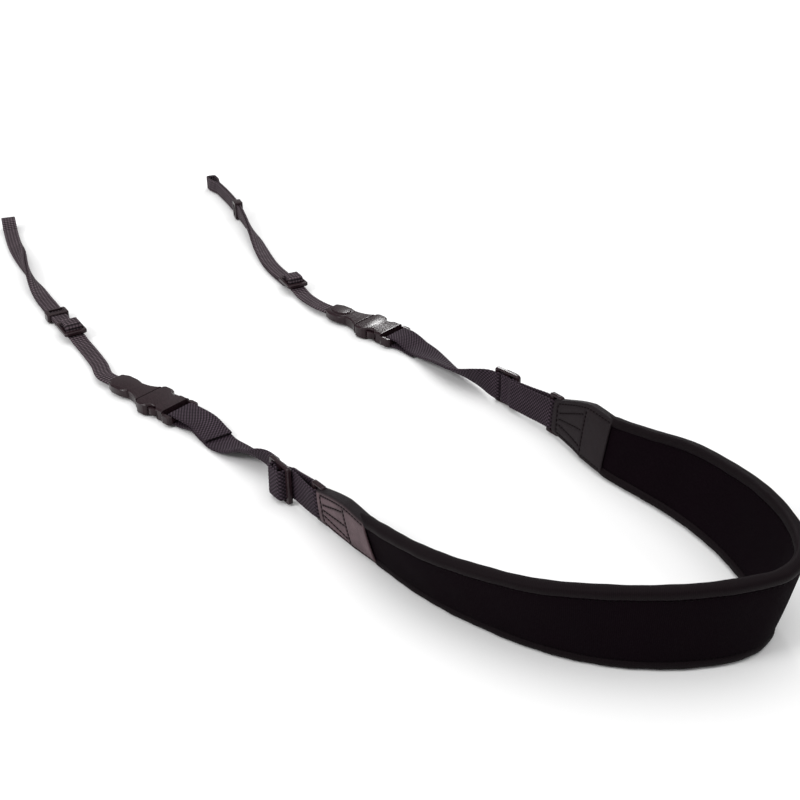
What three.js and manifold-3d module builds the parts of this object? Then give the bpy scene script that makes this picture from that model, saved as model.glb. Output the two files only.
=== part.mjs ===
// A camera neck strap lying on a surface: a padded neck piece standing in a U, two wide webbing arms,
// two fastened side-release buckles and two narrow webbing arms with open end loops.
// Millimetres, +Z up. X runs along the strap's long axis, with the bend of the neck pad at +X.
import * as THREE from "three";
import { mergeVertices } from "three/addons/utils/BufferGeometryUtils.js";
import Module from "manifold-3d";

const wasm = await Module();
wasm.setup();

// ---- Driving dimensions ----
const GAP = 0.3; // clearance kept between neighbouring pieces
const WIDE = { width: 17, thick: 1.5 }; // webbing on the pad's side of the buckles
const NARROW = { width: 10, thick: 1.4 }; // webbing on the camera's side of the buckles
const PAD = { core: 5.4, bound: 6, edge: 5.5, step: 9 }; // core and bound edge thickness, edge band height
const TAB = { tip: 19, shy: 2, shoulder: 0.62, tipThick: 5.8, wall: 1, pocket: 15, inside: 4.6, room: 0.5, slack: 1 };
const RING = { long: 9.8, across: 23.6, bar: 3, rail: 1.8, thick: 2.8 };
const SLIDE = { long: 18.4, slot: 4.4, centreBar: 3.6, thick: 2.6, margin: 4.6 };
const KEEPER = { long: 8.6, across: 14.4, tall: 6.4, wall: 1, bar: 2.2 };
const BUCKLE = {
  thick: 8, // over the female shells
  wall: 1.8, // one female shell
  earHalf: 11.6,
  bodyHalf: 9.8,
  footHalf: 11.4,
  slotHalf: 9.1,
  earLong: 10,
  windowLong: 7,
  slotFrom: 22.5,
  slotLong: 4.4,
  footBar: 3.2,
  footThick: 5,
  barThick: 2.8,
  foldBack: { left: 32, right: 21 }, // webbing beyond the foot, from its bar to its cut end
  padFrom: -31, // the narrow end's hexagonal pad
  padLong: 19,
  padHalf: 7.6,
  padThick: 6.4,
  pocketLong: 13.6,
  pocketTall: 2.4,
};
const LOOP = { long: 13, open: 3.4 }; // end loop for the lug: its length and half its opening
const ORIGIN = { x: 5.7, y: 1.2 }; // the middle of the whole strap's box, in the route's own coordinates

// ---- The route of the strap's middle line, from one free end round the pad to the other ----
// x, y: place. lift: how far the lower edge stands off the surface. roll: 0 and 180 flat, 90 on edge.
// wide: the width there. at: the piece that sits at the station.
const ROUTE = [
  { at: "left_end", x: -321, y: -87, lift: 3.7, roll: 0, wide: 10 },
  { x: -311, y: -88.8, lift: 3.6, roll: 0, wide: 10 },
  { x: -298, y: -91, lift: 2, roll: 3, wide: 10 },
  { x: -278, y: -94, lift: 1.2, roll: 10, wide: 10 },
  { x: -250, y: -97, lift: 0.9, roll: 44, wide: 10 },
  { x: -226, y: -99.3, lift: 0.9, roll: 82, wide: 10 },
  { x: -198, y: -101.4, lift: 1.1, roll: 124, wide: 10 },
  { x: -179, y: -102, lift: 1.6, roll: 165, wide: 10 },
  { x: -163, y: -102, lift: 2.4, roll: 180, wide: 10 },
  { at: "left_keeper", x: -140, y: -101.5, lift: 2.7, roll: 180, wide: 10 },
  { at: "left_narrow_slide", x: -111, y: -100, lift: 2.2, roll: 180, wide: 10 },
  { x: -82, y: -98.3, lift: 1.4, roll: 180, wide: 10 },
  { x: -60, y: -98.6, lift: 2.2, roll: 180, wide: 10 },
  { x: -39.6, y: -100, lift: 3.3, roll: 180, wide: 10 },
  { x: -34, y: -97.9, lift: 3.3, roll: 180, wide: 10 },
  { at: "left_mouth", x: -3.5, y: -86.5, lift: 3.3, roll: 180, wide: 10 },
  { x: 24.6, y: -76, lift: 3.3, roll: 180, wide: 17 },
  { x: 30.2, y: -73.9, lift: 3.3, roll: 180, wide: 17 },
  { x: 38.7, y: -70.8, lift: 2.8, roll: 180, wide: 17 },
  { x: 50, y: -69, lift: 1.2, roll: 180, wide: 17 },
  { x: 61, y: -67.5, lift: 0.2, roll: 177, wide: 17 },
  { x: 71, y: -64.5, lift: 0.3, roll: 167, wide: 17 },
  { x: 81.5, y: -61.5, lift: 0.5, roll: 148, wide: 17 },
  { x: 92, y: -60, lift: 0.8, roll: 132, wide: 17 },
  { x: 103, y: -59.1, lift: 1.7, roll: 103, wide: 17 },
  { x: 111, y: -58.5, lift: 2.4, roll: 91, wide: 17 },
  { at: "left_wide_slide", x: 121, y: -57.8, lift: 2.5, roll: 90, wide: 17 },
  { x: 136, y: -55.6, lift: 2.9, roll: 92, wide: 17 },
  { x: 149, y: -53.8, lift: 3.4, roll: 95, wide: 18 },
  { at: "left_tab_tip", x: 152, y: -53.4, lift: 3, roll: 95, wide: 19 },
  { x: 179, y: -50, lift: 1, roll: 101, wide: 29 },
  { at: "left_tab_end", x: 195, y: -47.5, lift: 0.2, roll: 105, wide: 30.5 },
  { x: 211, y: -45.5, lift: 0.2, roll: 106, wide: 33.5 },
  { x: 235, y: -40, lift: 0.2, roll: 106, wide: 37 },
  { x: 260, y: -29.6, lift: 0.2, roll: 104, wide: 40 },
  { x: 282, y: -17.2, lift: 0.2, roll: 102, wide: 43 },
  { x: 299, y: -2.3, lift: 0.2, roll: 99, wide: 45.5 },
  { x: 312, y: 14.5, lift: 0.2, roll: 97, wide: 46.5 },
  { x: 322, y: 33, lift: 0.2, roll: 96, wide: 47 },
  { x: 328.5, y: 51, lift: 0.2, roll: 97, wide: 48 },
  { x: 330, y: 66, lift: 0.2, roll: 99, wide: 48 },
  { x: 325.5, y: 78.5, lift: 0.2, roll: 100, wide: 48 },
  { x: 315.5, y: 88, lift: 0.2, roll: 100, wide: 48 },
  { x: 301.5, y: 95, lift: 0.2, roll: 100, wide: 48 },
  { x: 284, y: 100.2, lift: 0.2, roll: 99, wide: 47.5 },
  { x: 262, y: 103.8, lift: 0.2, roll: 99, wide: 45 },
  { x: 236, y: 104.2, lift: 0.2, roll: 100, wide: 42 },
  { x: 210, y: 100.5, lift: 0.2, roll: 101, wide: 37 },
  { at: "right_tab_end", x: 187, y: 97, lift: 0.2, roll: 102, wide: 33.5 },
  { x: 169, y: 96.9, lift: 1, roll: 100, wide: 31.5 },
  { at: "right_tab_tip", x: 140, y: 96.6, lift: 3, roll: 96, wide: 19 },
  { x: 136, y: 96.2, lift: 3.4, roll: 95, wide: 18 },
  { x: 120, y: 93.3, lift: 2.9, roll: 92, wide: 17 },
  { at: "right_wide_slide", x: 101, y: 89, lift: 2.5, roll: 90, wide: 17 },
  { x: 91, y: 86.8, lift: 2.2, roll: 87, wide: 17 },
  { x: 82, y: 85, lift: 1.6, roll: 66, wide: 17 },
  { x: 72, y: 83.1, lift: 1.1, roll: 46, wide: 17 },
  { x: 61, y: 81.6, lift: 0.8, roll: 34, wide: 17 },
  { x: 49, y: 81.4, lift: 0.7, roll: 27, wide: 17 },
  { x: 37, y: 81.8, lift: 1, roll: 14, wide: 17 },
  { x: 26, y: 81.6, lift: 2, roll: 3, wide: 17 },
  { x: 16.5, y: 80.5, lift: 2.6, roll: 0, wide: 17 },
  { x: 8.6, y: 78.7, lift: 3.3, roll: 0, wide: 17 },
  { x: 2.95, y: 76.8, lift: 3.3, roll: 0, wide: 17 },
  { at: "right_mouth", x: -25.5, y: 67.3, lift: 3.3, roll: 0, wide: 10 },
  { x: -56.3, y: 57, lift: 3.3, roll: 0, wide: 10 },
  { x: -62, y: 55.1, lift: 3.3, roll: 0, wide: 10 },
  { x: -80, y: 53.5, lift: 2, roll: 0, wide: 10 },
  { at: "right_narrow_slide", x: -105, y: 54, lift: 2.2, roll: 0, wide: 10 },
  { x: -146, y: 55.5, lift: 1.4, roll: 4, wide: 10 },
  { x: -172, y: 60, lift: 1.3, roll: 18, wide: 10 },
  { x: -195, y: 65, lift: 1.2, roll: 45, wide: 10 },
  { x: -220, y: 69.5, lift: 1.4, roll: 76, wide: 10 },
  { at: "right_keeper", x: -248, y: 74.5, lift: 2.3, roll: 90, wide: 10 },
  { x: -280, y: 79.5, lift: 1, roll: 90, wide: 10 },
  { at: "right_end", x: -326, y: 83, lift: 0.2, roll: 90, wide: 10 },
];

// ---- The route as a smooth line ----
const COLUMNS = ["x", "y", "lift", "roll", "wide"];
const SAMPLE = 1;

class Route {
  // Cubic pieces through the stations, with slopes from both neighbours weighted by distance.
  constructor(rows) {
    const u = [0];
    for (let i = 1; i < rows.length; i++)
      u.push(u[i - 1] + Math.hypot(rows[i].x - rows[i - 1].x, rows[i].y - rows[i - 1].y));
    const slopes = rows.map((_, i) => COLUMNS.map((c) => Route.slope(rows, u, i, c)));
    this.samples = [];
    this.stations = {};
    rows.forEach((row, i) => {
      if (row.at) this.stations[row.at] = { u: u[i] };
    });
    for (let i = 0; i + 1 < rows.length; i++) {
      const span = u[i + 1] - u[i];
      const count = Math.ceil(span / SAMPLE);
      for (let k = i ? 1 : 0; k <= count; k++) {
        const t = k / count;
        const value = {};
        COLUMNS.forEach((c, j) => {
          value[c] = hermite(rows[i][c], rows[i + 1][c], slopes[i][j] * span, slopes[i + 1][j] * span, t);
        });
        this.samples.push({ u: u[i] + t * span, ...value, point: Route.middle(value) });
      }
    }
    this.samples[0].s = 0;
    for (let i = 1; i < this.samples.length; i++)
      this.samples[i].s = this.samples[i - 1].s + this.samples[i].point.distanceTo(this.samples[i - 1].point);
    for (const name in this.stations)
      this.stations[name] = this.samples.find((p) => p.u >= this.stations[name].u - 1e-6).s;
    this.length = this.samples.at(-1).s;
  }

  static slope(rows, u, i, column) {
    const rise = (a, b) => (rows[b][column] - rows[a][column]) / (u[b] - u[a]);
    if (i === 0) return rise(0, 1);
    if (i === rows.length - 1) return rise(i - 1, i);
    const before = u[i] - u[i - 1];
    const after = u[i + 1] - u[i];
    return (rise(i - 1, i) * after + rise(i, i + 1) * before) / (before + after);
  }

  // The middle of the strap over its lower edge, whatever its roll.
  static middle({ x, y, lift, roll, wide }) {
    const turn = THREE.MathUtils.degToRad(roll);
    const thick = NARROW.thick / 2;
    return new THREE.Vector3(x, y, lift + (wide / 2) * Math.abs(Math.sin(turn)) + thick * Math.abs(Math.cos(turn)));
  }

  // Place and frame at arc length s: along the strap, across its width, and out of its outer face.
  frame(s) {
    const at = THREE.MathUtils.clamp(s, 0, this.length);
    let low = 0;
    let high = this.samples.length - 1;
    while (high - low > 1) {
      const mid = (low + high) >> 1;
      if (this.samples[mid].s <= at) low = mid;
      else high = mid;
    }
    const a = this.samples[low];
    const b = this.samples[high];
    const t = (at - a.s) / (b.s - a.s);
    const before = this.samples[Math.max(low - 1, 0)].point;
    const after = this.samples[Math.min(high + 1, this.samples.length - 1)].point;
    const chord = (p, q) => q.clone().sub(p).normalize();
    const along = chord(before, b.point).lerp(chord(a.point, after), t).normalize();
    const up = new THREE.Vector3(0, 0, 1).addScaledVector(along, -along.z).normalize();
    const level = up.clone().cross(along);
    const turn = THREE.MathUtils.degToRad(THREE.MathUtils.lerp(a.roll, b.roll, t));
    const across = level.clone().multiplyScalar(Math.cos(turn)).addScaledVector(up, Math.sin(turn));
    const out = along.clone().cross(across);
    const point = a.point.clone().lerp(b.point, t).addScaledVector(along, s - at);
    return { point, along, across, out, wide: THREE.MathUtils.lerp(a.wide, b.wide, t) };
  }

  // Strap coordinates (s along, n out of the face, w across) to a point in space.
  at(s, n, w) {
    const f = this.frame(s);
    return f.point.addScaledVector(f.out, n).addScaledVector(f.across, w);
  }
}

function hermite(p, q, mp, mq, t) {
  const a = t * t;
  const b = a * t;
  return p * (2 * b - 3 * a + 1) + mp * (b - 2 * a + t) + q * (3 * a - 2 * b) + mq * (b - a);
}

const route = new Route(ROUTE);
const S = route.stations;

// ---- Solids ----
// A closed skin over equal rings of points, one ring for each station.
function skin(rings) {
  const count = rings[0].length;
  const positions = rings.flat().flatMap((p) => [p.x, p.y, p.z]);
  const index = [];
  for (let i = 0; i + 1 < rings.length; i++)
    for (let j = 0; j < count; j++) {
      const k = (j + 1) % count;
      const [a, b, c, d] = [i * count + j, i * count + k, (i + 1) * count + k, (i + 1) * count + j];
      index.push(a, b, c, a, c, d);
    }
  const last = (rings.length - 1) * count;
  for (let j = 1; j + 1 < count; j++) index.push(0, j + 1, j, last, last + j, last + j + 1);
  const geometry = new THREE.BufferGeometry();
  geometry.setAttribute("position", new THREE.Float32BufferAttribute(positions, 3));
  geometry.setIndex(index);
  return geometry;
}

// A section given in (n, w), carried along the route from one arc length to another.
function sweep(one, other, step, sectionAt) {
  const [from, to] = [Math.min(one, other), Math.max(one, other)];
  const count = Math.max(1, Math.round((to - from) / step));
  const rings = [];
  for (let i = 0; i <= count; i++) {
    const s = from + ((to - from) * i) / count;
    rings.push(sectionAt(s).map(([n, w]) => route.at(s, n, w)));
  }
  return skin(rings);
}

// Corners in (s, n) joined by straight runs and round bends of one radius, as points not over step apart.
function rounded(corners, radius, step) {
  const points = [];
  corners.forEach(([s, n], i) => {
    const here = new THREE.Vector2(s, n);
    if (i === 0 || i === corners.length - 1) {
      points.push(here);
      return;
    }
    const back = new THREE.Vector2(...corners[i - 1]).sub(here);
    const on = new THREE.Vector2(...corners[i + 1]).sub(here);
    const reach = Math.min(radius / Math.tan(back.angleTo(on) / 2), back.length() / 2, on.length() / 2);
    const start = here.clone().addScaledVector(back.normalize(), reach);
    const end = here.clone().addScaledVector(on.normalize(), reach);
    const bend = Math.PI - Math.acos(THREE.MathUtils.clamp(back.dot(on), -1, 1));
    const count = Math.max(1, Math.round(bend / (Math.PI / 6)));
    for (let k = 0; k <= count; k++) {
      const t = k / count;
      const p = start.clone().multiplyScalar((1 - t) * (1 - t));
      points.push(p.addScaledVector(here, 2 * t * (1 - t)).addScaledVector(end, t * t));
    }
  });
  const full = [points[0]];
  for (let i = 1; i < points.length; i++) {
    const gap = points[i].distanceTo(full.at(-1));
    if (gap < 0.05) continue;
    const pieces = Math.ceil(gap / step);
    const from = full.at(-1);
    for (let k = 1; k <= pieces; k++) full.push(from.clone().lerp(points[i], k / pieces));
  }
  return full;
}

// Webbing of one thickness laid along corners in (s, n).
function webbing(corners, { width, thick }, radius = 1.7, step = 7) {
  const line = rounded(corners, radius, step);
  const rings = line.map((p, i) => {
    const before = line[Math.max(i - 1, 0)];
    const after = line[Math.min(i + 1, line.length - 1)];
    const side = after.clone().sub(before).normalize().rotateAround(new THREE.Vector2(), Math.PI / 2);
    const corner = (n, w) => route.at(p.x + side.x * n, p.y + side.y * n, w);
    const [n, w] = [thick / 2, width / 2];
    return [corner(-n, -w), corner(-n, w), corner(n, w), corner(n, -w)];
  });
  return skin(rings);
}

// manifold-3d solids, for cuts and joins only.
function solid(geometry) {
  const plain = geometry.index ? geometry.toNonIndexed() : geometry.clone();
  for (const name of Object.keys(plain.attributes)) if (name !== "position") plain.deleteAttribute(name);
  const merged = mergeVertices(plain, 1e-4);
  const vertProperties = new Float32Array(merged.attributes.position.array);
  const triVerts = new Uint32Array(merged.index.array);
  return new wasm.Manifold(new wasm.Mesh({ numProp: 3, vertProperties, triVerts }));
}

function geometryOf(body) {
  const mesh = body.getMesh();
  const geometry = new THREE.BufferGeometry();
  geometry.setAttribute("position", new THREE.Float32BufferAttribute(Array.from(mesh.vertProperties), 3));
  geometry.setIndex(Array.from(mesh.triVerts));
  return geometry;
}

const cut = (body, ...tools) => geometryOf(tools.reduce((rest, tool) => rest.subtract(solid(tool)), solid(body)));
const join = (...bodies) => geometryOf(bodies.map(solid).reduce((sum, body) => sum.add(body)));

// A plate with its outline in (x, y), centred on z = middle.
function plate(shape, thick, middle = 0, bevel = 0) {
  const options = { depth: thick - 2 * bevel, curveSegments: 6, bevelEnabled: bevel > 0 };
  Object.assign(options, { bevelThickness: bevel, bevelSize: bevel, bevelOffset: -bevel, bevelSegments: 1 });
  return new THREE.ExtrudeGeometry(shape, options).translate(0, 0, middle - thick / 2 + bevel);
}

// A rectangle with round corners, from its low corner to its high corner.
function roundRect(x0, y0, x1, y1, r) {
  const shape = new THREE.Shape().moveTo(x0 + r, y0).lineTo(x1 - r, y0);
  shape.absarc(x1 - r, y0 + r, r, -Math.PI / 2, 0).absarc(x1 - r, y1 - r, r, 0, Math.PI / 2);
  shape.absarc(x0 + r, y1 - r, r, Math.PI / 2, Math.PI).absarc(x0 + r, y0 + r, r, Math.PI, 1.5 * Math.PI);
  return shape;
}

const block = (x0, x1, y0, y1, z0, z1) =>
  new THREE.BoxGeometry(x1 - x0, y1 - y0, z1 - z0).translate((x0 + x1) / 2, (y0 + y1) / 2, (z0 + z1) / 2);

// ---- Neck pad: core, thinner inside the tabs, and its two bound edges ----
const PAD_FROM = S.left_tab_end - TAB.pocket;
const PAD_TO = S.right_tab_end + TAB.pocket;

// Six-sided band between two heights, with its four corners cut.
function bandSection(thick, low, high, chamferLow, chamferHigh) {
  const n = thick / 2;
  return [
    [-n + chamferLow, low], [-n, low + chamferLow], [-n, high - chamferHigh], [-n + chamferHigh, high],
    [n - chamferHigh, high], [n, high - chamferHigh], [n, low + chamferLow], [n - chamferLow, low],
  ];
}

function padHalfHeight(s) {
  const inside = THREE.MathUtils.clamp(s, S.left_tab_end, S.right_tab_end);
  return route.frame(inside).wide / 2;
}

function padCore() {
  return sweep(PAD_FROM, PAD_TO, PAD.step, (s) => {
    const clear = Math.min(s - S.left_tab_end, S.right_tab_end - s) / PAD.step; // steps out of the tabs
    const thick = THREE.MathUtils.lerp(TAB.inside, PAD.core, THREE.MathUtils.clamp(clear, 0, 1));
    const reach = padHalfHeight(s) - PAD.edge;
    return bandSection(thick, -reach, reach, 0.6, 0.6);
  });
}

function boundEdge(side) {
  return sweep(S.left_tab_end + GAP, S.right_tab_end - GAP, PAD.step, (s) => {
    const outer = padHalfHeight(s);
    const inner = outer - PAD.edge + GAP;
    return side > 0
      ? bandSection(PAD.bound, inner, outer, 0.6, 2.4)
      : bandSection(PAD.bound, -outer, -inner, 2.4, 0.6);
  });
}

// ---- Leather tabs: two walls over the pad's end, drawn in from the shoulders to a fold round the ring ----
// way: +1 when arc length grows from the tip to the wide end.
function tab(tip, end, way) {
  const outer = sweep(tip, end, 6, (s) => {
    const share = (s - tip) / (end - tip);
    const full = route.frame(end).wide - TAB.shy;
    const half = THREE.MathUtils.lerp(TAB.tip, full, Math.min(1, share / TAB.shoulder)) / 2;
    const thick = THREE.MathUtils.lerp(TAB.tipThick, TAB.inside + 2 * (TAB.room + TAB.wall), Math.min(1, share * 1.6));
    return bandSection(thick, -half, half, 0.5, 0.5);
  });
  const pocket = sweep(end - way * (TAB.pocket + GAP), end + way, 4, () =>
    bandSection(TAB.inside + 2 * TAB.room, -30, 30, 0.1, 0.1));
  const barFrom = tip + way * TAB.wall;
  const barRoom = sweep(barFrom, barFrom + way * (RING.bar + 2 * TAB.slack), 2, () =>
    bandSection(RING.thick + 2 * TAB.room, -RING.across, RING.across, 0.2, 0.2));
  return [outer, pocket, barRoom];
}

// ---- Moulded pieces, each in its own frame: x along, y across, z out ----
function ring() {
  const shape = roundRect(-RING.long / 2, -RING.across / 2, RING.long / 2, RING.across / 2, 1.4);
  const [x, y] = [RING.long / 2 - RING.bar, RING.across / 2 - RING.rail];
  shape.holes.push(roundRect(-x, -y, x, y, 0.3));
  return plate(shape, RING.thick, 0, 0.5);
}

function slide(webWidth) {
  const half = (webWidth + SLIDE.margin) / 2;
  const shape = roundRect(-SLIDE.long / 2, -half, SLIDE.long / 2, half, 1.8);
  const slotHalf = webWidth / 2 + 0.6;
  const inner = SLIDE.centreBar / 2;
  const outer = inner + SLIDE.slot;
  shape.holes.push(roundRect(-outer, -slotHalf, -inner, slotHalf, 0.4), roundRect(inner, -slotHalf, outer, slotHalf, 0.4));
  return plate(shape, SLIDE.thick, 0, 0.5);
}

function keeper() {
  const [x, y, z] = [KEEPER.long / 2, KEEPER.across / 2, KEEPER.tall / 2];
  const body = plate(roundRect(-x, -y, x, y, 1.6), KEEPER.tall, 0, 0.8);
  const passage = block(-x - 1, x + 1, -y + 2, y - 2, -z + KEEPER.wall, z - KEEPER.wall);
  const window = block(-x + KEEPER.bar, x - KEEPER.bar, -y + 2.6, y - 2.6, -z - 1, z + 1);
  return cut(body, passage, window);
}

// The female half: two shells with side windows, a waist and a foot with the webbing slot.
function buckleFemale() {
  const B = BUCKLE;
  const from = B.earLong;
  const to = B.earLong + B.windowLong;
  const footEnd = B.slotFrom + B.slotLong + B.footBar;
  const side = [
    [0.4, B.earHalf - 2], [1.6, B.earHalf - 0.5], [3, B.earHalf], [from - 2.5, B.earHalf], [from - 0.6, B.earHalf - 0.8],
    [from + 0.6, 9], [from + 2.2, 8], [from + 4, 7.7], [to - 1.6, 8.3], [to, B.bodyHalf],
    [B.slotFrom - 1, B.bodyHalf], [B.slotFrom + 1.6, B.footHalf], [footEnd - 2, B.footHalf],
    [footEnd - 0.6, B.footHalf - 0.6], [footEnd, B.footHalf - 2],
  ];
  const edge = (sign) => side.map(([x, y]) => new THREE.Vector2(x, sign * y));
  const shells = plate(new THREE.Shape([...edge(-1), ...edge(1).reverse()]), B.thick, 0, 0.9);
  const inner = B.thick / 2 - B.wall;
  const cavity = block(-1, to + 1, -10, 10, -inner, inner);
  const sideRoom = block(from, to - 0.5, -14, 14, -inner, inner);
  const slot = block(B.slotFrom, B.slotFrom + B.slotLong, -B.slotHalf, B.slotHalf, -5, 5);
  const steps = [1, -1].flatMap((up) => {
    const low = (z) => Math.min(up * z, up * 5);
    const high = (z) => Math.max(up * z, up * 5);
    const foot = B.footThick / 2;
    const bar = B.barThick / 2;
    return [
      block(B.slotFrom, footEnd + 1, -14, 14, low(foot), high(foot)),
      block(B.slotFrom + 1, footEnd + 1, -B.slotHalf, B.slotHalf, low(bar), high(bar)),
    ];
  });
  return cut(shells, cavity, sideRoom, slot, ...steps);
}

// The male half: hexagonal pad with its webbing pocket and raised oval grip, shoulders, prongs and tongue.
function buckleMale() {
  const B = BUCKLE;
  const from = B.padFrom;
  const to = from + B.padLong;
  const half = B.padHalf;
  const pad = new THREE.Shape([
    [from, -4.6], [from + 1.2, -5.8], [from + 6, -half], [to - 6, -half], [to - 1, -6.2], [to, -5.2],
    [to, 5.2], [to - 1, 6.2], [to - 6, half], [from + 6, half], [from + 1.2, 5.8], [from, 4.6],
  ].map(([x, y]) => new THREE.Vector2(x, y)));
  const room = B.thick - 2 * B.wall - 2 * GAP;
  const neck = new THREE.Shape();
  neck.moveTo(to - 2, -5.4).quadraticCurveTo(to + 7, -5.6, -GAP, -9.8);
  neck.lineTo(-GAP, 9.8).quadraticCurveTo(to + 7, 5.6, to - 2, 5.4);
  const arm = (sign) => {
    const shape = new THREE.Shape();
    shape.moveTo(-1, sign * 7).lineTo(-1, sign * 9.6).lineTo(9.4, sign * 9.6);
    shape.quadraticCurveTo(12.5, sign * 11, 14.4, sign * 10);
    shape.quadraticCurveTo(16.4, sign * 9, 16.8, sign * 7.8).lineTo(15.2, sign * 7);
    shape.quadraticCurveTo(13, sign * 8.6, 10, sign * 7.4).closePath();
    return shape;
  };
  const tongue = roundRect(-1, -2.6, 14, 2.6, 1.2);
  const grip = new THREE.Shape();
  grip.absellipse((from + to) / 2, 0, 7.6, 5.4, 0, 2 * Math.PI, false, 0);
  const body = join(
    plate(pad, B.padThick, 0, 1.2),
    plate(neck, B.thick - 1.2, 0, 0.6),
    plate(arm(1), room),
    plate(arm(-1), room),
    plate(tongue, room),
    plate(grip, 1.6, B.padThick / 2, 0.4),
  );
  const pocketHalf = NARROW.width / 2 + 0.5;
  const pocket = block(from - 1, from + B.pocketLong, -pocketHalf, pocketHalf, -B.pocketTall / 2, B.pocketTall / 2);
  return cut(body, pocket);
}

// ---- Webbing paths in (s, n) ----
// Through a slide: under both outer bars, over the centre bar. way: +1 when the doubled side has larger s.
// face: +1 when the slide stands out of the strap's outer face, -1 out of its inner face.
const LACE = { under: -2.4, over: 4.2, inner: 4.8, outer: 9.9, free: 17 };
const SLIDE_OUT = 3.2; // the slide's middle stands this far out of the route
const laced = (s, way, face) => [
  [s - way * LACE.free, 0],
  [s - way * LACE.outer, face * (SLIDE_OUT + LACE.under)],
  [s - way * (LACE.inner + 0.3), face * (SLIDE_OUT + LACE.under)],
  [s - way * LACE.inner, face * (SLIDE_OUT + LACE.over)],
  [s + way * LACE.inner, face * (SLIDE_OUT + LACE.over)],
  [s + way * (LACE.inner + 0.3), face * (SLIDE_OUT + LACE.under)],
  [s + way * LACE.outer, face * (SLIDE_OUT + LACE.under)],
];
// The inner layer's end, hooked over the slide's centre bar.
const hooked = (s, way, face) => [
  [s + way * LACE.outer, face * (SLIDE_OUT - 4.4)],
  [s + way * 6.8, face * (SLIDE_OUT - 4.4)],
  [s + way * 3.1, face * (SLIDE_OUT + LACE.under)],
  [s - way * 2.85, face * (SLIDE_OUT + LACE.under)],
  [s - way * 2.85, face * (SLIDE_OUT - LACE.under)],
  [s + way * 1.4, face * (SLIDE_OUT - LACE.under)],
];

// Wide webbing: cut end, round the buckle's foot bar, through the slide, round the ring's bar and back.
function wideWebbing(mouth, slideAt, ringAt, foldBack, way) {
  const B = BUCKLE;
  const slotPass = mouth + way * (B.slotFrom + B.slotLong - GAP - WIDE.thick / 2);
  const footEnd = mouth + way * (B.slotFrom + B.slotLong + B.footBar);
  const wrap = B.barThick / 2 + GAP + WIDE.thick / 2;
  const bar = ringAt - (way * (RING.long - RING.bar)) / 2;
  const turn = bar + way * (RING.bar / 2 + GAP + WIDE.thick / 2);
  const apart = RING.thick / 2 + GAP + WIDE.thick / 2;
  return [
    [footEnd + way * foldBack, -1.75],
    [footEnd + way * 3.5, -wrap],
    [slotPass, -wrap],
    [slotPass, wrap],
    [footEnd + way * 3.5, wrap],
    [footEnd + way * 15, 0],
    ...laced(slideAt, way, 1),
    [bar - way * 3, apart],
    [turn, apart],
    [turn, -apart],
    [bar - way * 3, -apart],
    ...hooked(slideAt, way, 1),
  ];
}

// Narrow webbing: out of the buckle's pad, through the slide, round the end loop and back.
function narrowWebbing(mouth, slideAt, end, way, face) {
  const padEnd = mouth - way * BUCKLE.padFrom;
  const throat = end - way * (LOOP.long + 7);
  const tip = end - way * NARROW.thick;
  return [
    [padEnd - way * (BUCKLE.pocketLong - GAP), 0],
    [padEnd + way * 12, 0],
    ...laced(slideAt, way, face),
    [slideAt + way * 18, face * 0.95],
    [throat, face * 0.95],
    [end - way * (LOOP.long - 3), face * LOOP.open],
    [tip, face * LOOP.open],
    [tip, -face * LOOP.open],
    [end - way * (LOOP.long - 3), -face * LOOP.open],
    [throat, -face * 0.95],
    [slideAt + way * 18, -face * 0.95],
    ...hooked(slideAt, way, face),
  ];
}

// ---- Assembly ----
const finish = (color, roughness) => new THREE.MeshStandardMaterial({ color, roughness, metalness: 0 });
const FINISH = {
  webbing: () => finish(0x1d1a1c, 0.85),
  neoprene: () => finish(0x232022, 0.9),
  binding: () => finish(0x1a1719, 0.8),
  leather: () => finish(0x3a3436, 0.55),
  plastic: () => finish(0x2b2725, 0.45),
};

const strap = new THREE.Group();
strap.position.set(-ORIGIN.x, -ORIGIN.y, 0);
function add(name, geometry, material) {
  const mesh = new THREE.Mesh(geometry, material());
  mesh.name = name;
  strap.add(mesh);
  return mesh;
}

// A moulded piece at arc length s, out of the route by n; way -1 turns it end for end.
function seat(mesh, s, n = 0, way = 1) {
  const f = route.frame(s);
  const along = f.along.multiplyScalar(way);
  const across = f.across.multiplyScalar(way);
  mesh.position.copy(f.point.addScaledVector(f.out, n));
  mesh.quaternion.setFromRotationMatrix(new THREE.Matrix4().makeBasis(along, across, f.out));
}

add("neck_pad_core", padCore(), FINISH.neoprene);
add("upper_bound_edge", boundEdge(1), FINISH.binding);
add("lower_bound_edge", boundEdge(-1), FINISH.binding);

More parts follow.
